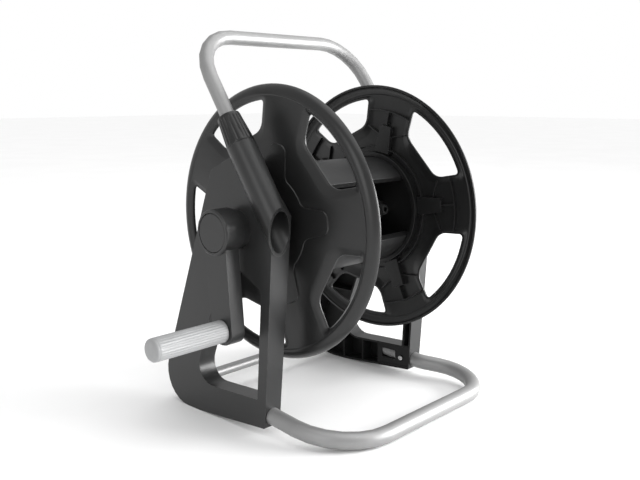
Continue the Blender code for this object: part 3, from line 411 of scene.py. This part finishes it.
def starLine(setup, phase, count):
    # a round plate with one blunt arm along each spoke
    points, corners = [], {}
    turn = 2 * pi / count
    foot = (setup["hub"] ** 2 - setup["root"] ** 2) ** 0.5
    for number in range(count):
        middle = phase + (number - 0.5) * turn
        for way in (-1, 1):
            root = around(foot, middle) + around(setup["root"] * way, middle + pi / 2)
            tip = around(setup["reach"], middle) + around(setup["tip"] * way, middle + pi / 2)
            for point in (root, tip)[::-way]:
                corners[len(points)] = setup["tipCorner"] if point is tip else setup["rootCorner"]
                points.append(point)
        points += [around(setup["hub"], middle + turn * step) for step in setup["between"]]
    return outlineOf(points, corners, 5)


def turnedRing(bm, profile, steps=128, closed=True):
    # a profile of radius and height, turned all the way round
    line = [bm.verts.new((radius, 0, height)) for radius, height in profile]
    edges = [bm.edges.new((line[i], line[i + 1])) for i in range(len(line) - 1)]
    if closed:
        edges.append(bm.edges.new((line[-1], line[0])))
    bmesh.ops.spin(bm, geom=line + edges, cent=(0, 0, 0), axis=(0, 0, 1), angle=2 * pi, steps=steps,
                   use_merge=True)


def bar(bm, start, end, width, low, high, endWidth=None):
    # a rib from start to end, standing between two heights, tapered if its end has its own width
    run = end - start
    middle = (start + end) / 2
    place = Matrix.Translation((middle.x, middle.y, (low + high) / 2))
    turn = Matrix.Rotation(atan2(run.y, run.x), 4, "Z")
    size = Matrix.Diagonal((run.to_2d().length, width, high - low, 1))
    made = bmesh.ops.create_cube(bm, size=1, matrix=place @ turn @ size)
    if endWidth:
        side = Vector((-run.y, run.x, 0)).normalized()
        for vert in made["verts"]:
            if (vert.co - end).dot(run) > -run.length_squared / 2:
                across = (vert.co - end).dot(side)
                vert.co += side * across * (endWidth / width - 1)


def toWorld(bm, face, side):
    # the flange's own plane turned to stand on the axle, its outer side towards +x or -x
    place = Matrix(((0, 0, side, face), (1, 0, 0, 0), (0, 1, 0, flangeSizes["axis"]), (0, 0, 0, 1)))
    bm.transform(place)
    if side < 0:
        bmesh.ops.reverse_faces(bm, faces=bm.faces)


def circleAt(bm, count, radius, height):
    place = Matrix.Translation((0, 0, height))
    ring = bmesh.ops.create_circle(bm, segments=count, radius=radius, matrix=place)
    return list(dict.fromkeys(edge for vert in ring["verts"] for edge in vert.link_edges))


def flangeShell(sizes):
    # the rim and the dished windows, filled in between, with a raised star round the hub
    bm = bmesh.new()
    turnedRing(bm, sizes["rim"], closed=False)
    inner = sizes["rim"][0][0] + 0.0002                # the profile's first point, and not its second
    edgeLoops = [edge for edge in bm.edges if all(vert.co.to_2d().length < inner for vert in edge.verts)]
    for number in range(sizes["windows"]):
        middle = sizes["phase"] + number * 2 * pi / sizes["windows"]
        loops = [layLoop(bm, windowLine(middle, ring)) for ring in sizes["surround"]]
        edgeLoops += loops[0]
        for one, other in zip(loops, loops[1:]):
            bmesh.ops.bridge_loops(bm, edges=one + other)
        wall = bmesh.ops.extrude_edge_only(bm, edges=loops[-1])
        down = [vert for vert in wall["geom"] if isinstance(vert, bmesh.types.BMVert)]
        bmesh.ops.translate(bm, verts=down, vec=(0, 0, -sizes["depth"] - sizes["surround"][-1][5]))
    star, upward = sizes["star"], (0, 0, 1)
    low = layLoop(bm, starLine(star, sizes["phase"], sizes["windows"]))
    bmesh.ops.triangle_fill(bm, use_beauty=True, use_dissolve=False, edges=edgeLoops + low, normal=upward)
    step = bmesh.ops.extrude_edge_only(bm, edges=low)
    top = [part for part in step["geom"] if isinstance(part, bmesh.types.BMVert)]
    topEdges = [part for part in step["geom"] if isinstance(part, bmesh.types.BMEdge)]
    bmesh.ops.translate(bm, verts=top, vec=(0, 0, star["rise"]))
    bmesh.ops.scale(bm, verts=top, vec=(star["draft"], star["draft"], 1))
    hubEdges = circleAt(bm, star["boreSteps"], star["bore"], star["rise"])
    bmesh.ops.triangle_fill(bm, use_beauty=True, use_dissolve=False, edges=topEdges + hubEdges, normal=upward)
    bmesh.ops.remove_doubles(bm, verts=bm.verts, dist=0.00002)
    bmesh.ops.recalc_face_normals(bm, faces=bm.faces)
    if sum(face.normal.z * face.calc_area() for face in bm.faces) < 0:
        bmesh.ops.reverse_faces(bm, faces=bm.faces)
    bmesh.ops.solidify(bm, geom=bm.faces[:] + bm.edges[:] + bm.verts[:], thickness=sizes["wall"])
    return bm


def arcRib(setup, middle, thick, low, high):
    bm = bmesh.new()
    corners = ((0, low), (thick, low), (thick, high), (0, high))
    radius, begin = setup["radius"], middle - setup["half"]
    face = bm.faces.new([bm.verts.new(around(radius + out, begin, height)) for out, height in corners])
    bmesh.ops.spin(bm, geom=[face] + face.edges[:] + face.verts[:], cent=(0, 0, 0), axis=(0, 0, -1),
                   angle=setup["half"] * 2, steps=setup["steps"], use_duplicate=False)
    bmesh.ops.remove_doubles(bm, verts=bm.verts, dist=0.00001)
    mesh = bpy.data.meshes.new("arc")
    bm.to_mesh(mesh)
    bm.free()
    return mesh


def flangeRibs(sizes):
    # the inner side: rings round the drum's seat, and on each spoke a tongue with four ribs
    bm = bmesh.new()
    for profile in (sizes["ring"], sizes["outerRing"], sizes["hubBoss"]):
        turnedRing(bm, profile)
    low, high = -sizes["ribDepth"], -sizes["wall"] + 0.0008
    tongue, cornerRib, thick = sizes["tongue"], sizes["cornerRib"], sizes["rib"]
    for number in range(sizes["windows"]):
        middle = sizes["phase"] + (number - 0.5) * 2 * pi / sizes["windows"]
        across = around(1, middle + pi / 2)
        tip = around(tongue["end"], middle)
        bar(bm, around(tongue["start"], middle), tip, tongue["rootWide"] * 2, -tongue["depth"], high,
            tongue["tipWide"] * 2)
        bar(bm, tip, around(sizes["arcRib"]["radius"], middle), thick, low, high)
        for way in (-1, 1):
            corner = around(tongue["end"] - cornerRib["back"], middle) + across * way * tongue["tipWide"]
            outer = around(cornerRib["out"], middle) + across * way * cornerRib["aside"]
            bar(bm, corner, outer, thick, low + cornerRib["shallower"], high)
        arcMesh = arcRib(sizes["arcRib"], middle, thick, low, high)
        bm.from_mesh(arcMesh)
        bpy.data.meshes.remove(arcMesh)
    bmesh.ops.recalc_face_normals(bm, faces=bm.faces)
    return bm


for side, word, box in ((-1, "left", leftFlange), (1, "right", rightFlange)):
    face = (box[0].x if side < 0 else box[1].x) - side * flangeSizes["hubOut"]
    shell, ribs = flangeShell(flangeSizes), flangeRibs(flangeSizes)
    toWorld(shell, face, side)
    toWorld(ribs, face, side)
    finishPiece(shell, "flange_shell_" + word, "reel", "reel_plastic", turnLimit=38,
                stands=["flange_" + word])
    finishPiece(ribs, "flange_ribs_" + word, "reel", "reel_plastic", roundOff=0.0003, segments=1)
print("flanges made")


# a line's points: share of the length, share of the way from foot to top radius, share of the flutes' depth
collarSizes = {
    "flutes": 16, "perFlute": 8, "deep": 0.0010, "cut": (1.0, 0.62, 0.08, 0, 0, 0, 0.08, 0.62),
    "line": ((0.0, 0.06, 0), (0.012, 0.0, 0), (0.05, 0.0, 0), (0.085, 0.04, 1), (0.45, 0.40, 1),
             (0.86, 0.84, 1), (0.90, 0.88, 0), (0.955, 0.94, 0), (1.0, 1.10, 0)),
    "foot": 0.0174, "top": 0.0139, "bore": 0.0096,
}
gripSizes = {
    "flutes": 24, "perFlute": 6, "deep": 0.00065, "cut": (1.0, 0.55, 0.1, 0, 0.1, 0.55),
    "line": ((0.0, 0.30, 0), (0.004, 0.10, 0), (0.012, 0.0, 0), (0.020, 0.0, 0), (0.034, 0.0, 1),
             (0.5, 0.0, 1), (0.955, 0.0, 1), (0.975, 0.0, 0), (0.992, 0.06, 0), (1.0, 0.30, 0)),
    "foot": 0.0135, "top": 0.0115, "bore": 0.0056,
}
gripCapSizes = {                                       # radius and height, from the middle outwards
    "profile": ((0.0, 0.0043), (0.0060, 0.00428), (0.0098, 0.0040), (0.0119, 0.0031), (0.0130, 0.0018),
                (0.0133, 0.0004), (0.0133, 0.0), (0.0, 0.0)),
    "steps": 64,
}


def fluted(sizes, length):
    # a sleeve along +z with grooves pressed into its outer side
    bm = bmesh.new()
    count = sizes["flutes"] * sizes["perFlute"]
    rings = []
    for share, taper, cut in sizes["line"]:
        radius = sizes["foot"] + (sizes["top"] - sizes["foot"]) * taper
        ring = circleAt(bm, count, radius, share * length)
        for vert in {vert for edge in ring for vert in edge.verts}:
            turnShare = vert.co.to_2d().angle_signed(Vector((1, 0))) / (2 * pi) % 1
            pressed = sizes["cut"][round(turnShare * count) % sizes["perFlute"]]
            inward = 1 - cut * pressed * sizes["deep"] / radius
            vert.co.x, vert.co.y = vert.co.x * inward, vert.co.y * inward
        rings.append(ring)
    rings += [circleAt(bm, count, sizes["bore"], height) for height in (length, 0)]
    for one, other in zip(rings, rings[1:] + rings[:1]):
        bmesh.ops.bridge_loops(bm, edges=one + other)
    bmesh.ops.recalc_face_normals(bm, faces=bm.faces)
    return bm


def turnedPiece(profile, steps):
    # a closed turned solid whose profile starts and ends on the axis
    bm = bmesh.new()
    turnedRing(bm, profile, steps, closed=False)
    bmesh.ops.remove_doubles(bm, verts=bm.verts, dist=0.00001)
    bmesh.ops.recalc_face_normals(bm, faces=bm.faces)
    return bm


def middleOf(box, x):
    return Vector((x, (box[0].y + box[1].y) / 2, (box[0].z + box[1].z) / 2))


def spanAlong(node, origin, direction):
    heights = [(vert.co - origin).dot(direction) for vert in frame["nodes"][node].data.vertices]
    return min(heights), max(heights)


def standing(origin, direction):
    return Matrix.Translation(origin) @ direction.to_track_quat("Z", "Y").to_matrix().to_4x4()


jointOf = {joint["name"]: joint for joint in frame["joints"]}
for word in ("left", "right"):
    joint = jointOf["collar_" + word + "_twist"]
    axis, anchor = Vector(joint["axis"]).normalized(), Vector(joint["pos_m"])
    if axis.z < 0:
        axis = -axis
    low, high = spanAlong("lock_collar_" + word, anchor, axis)
    collar = fluted(collarSizes, high - low)
    collar.transform(standing(anchor + axis * low, axis))
    finishPiece(collar, "collar_fluted_" + word, "collar_" + word, "collar_plastic", turnLimit=40,
                stands=["lock_collar_" + word])

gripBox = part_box("grip")
outward = Vector((-1, 0, 0))
gripPiece = fluted(gripSizes, gripBox[1].x - gripBox[0].x)
gripPiece.transform(standing(middleOf(gripBox, gripBox[1].x), outward))
finishPiece(gripPiece, "grip_fluted", "crank_grip", "grip_plastic", turnLimit=40, stands=["grip"])
gripCap = turnedPiece(gripCapSizes["profile"], gripCapSizes["steps"])
gripCap.transform(standing(middleOf(gripBox, gripBox[0].x), outward))
finishPiece(gripCap, "grip_cap_domed", "crank_grip", "grip_cap_plastic", turnLimit=40,
            stands=["grip_end_cap"])
print("collars and grip made")


screwSizes = {                                         # a domed head with a recess, heights from its crown
    "profile": ((0.0, -0.0014), (0.0012, -0.0014), (0.0013, -0.0002), (0.0024, 0.0), (0.0031, -0.0004),
                (0.0035, -0.0011), (0.0035, -0.0024), (0.0, -0.0024)),
    "steps": 36,
}
for side, word in ((-1, "left"), (1, "right")):
    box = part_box("base_screw_" + word)
    head = turnedPiece(screwSizes["profile"], screwSizes["steps"])
    head.transform(standing(middleOf(box, box[0].x if side > 0 else box[1].x), Vector((-side, 0, 0))))
    finishPiece(head, "base_screw_head_" + word, "stand", "steel", turnLimit=40,
                stands=["base_screw_" + word])
print("screws made")

groundSetup = {"size": 14, "greys": (0.95, 0.97), "rough": 0.7}
ground = bmesh.new()
bmesh.ops.create_grid(ground, x_segments=1, y_segments=1, size=groundSetup["size"])
groundMesh = bpy.data.meshes.new("ground")
ground.to_mesh(groundMesh)
ground.free()
groundSheet = bpy.data.objects.new("ground", groundMesh)
bpy.context.scene.collection.objects.link(groundSheet)
groundWeb = Web("paleGround")
paler = groundWeb.noise(3, 2).spread(0.3, 0.7)
groundTone = groundWeb.blendColours(paler, *(grey(level) for level in groundSetup["greys"]))
groundGloss = groundSetup["rough"] + groundWeb.noise(30, 2) * 0.1
groundMesh.materials.append(groundWeb.surface(Base_Color=groundTone, Roughness=groundGloss))
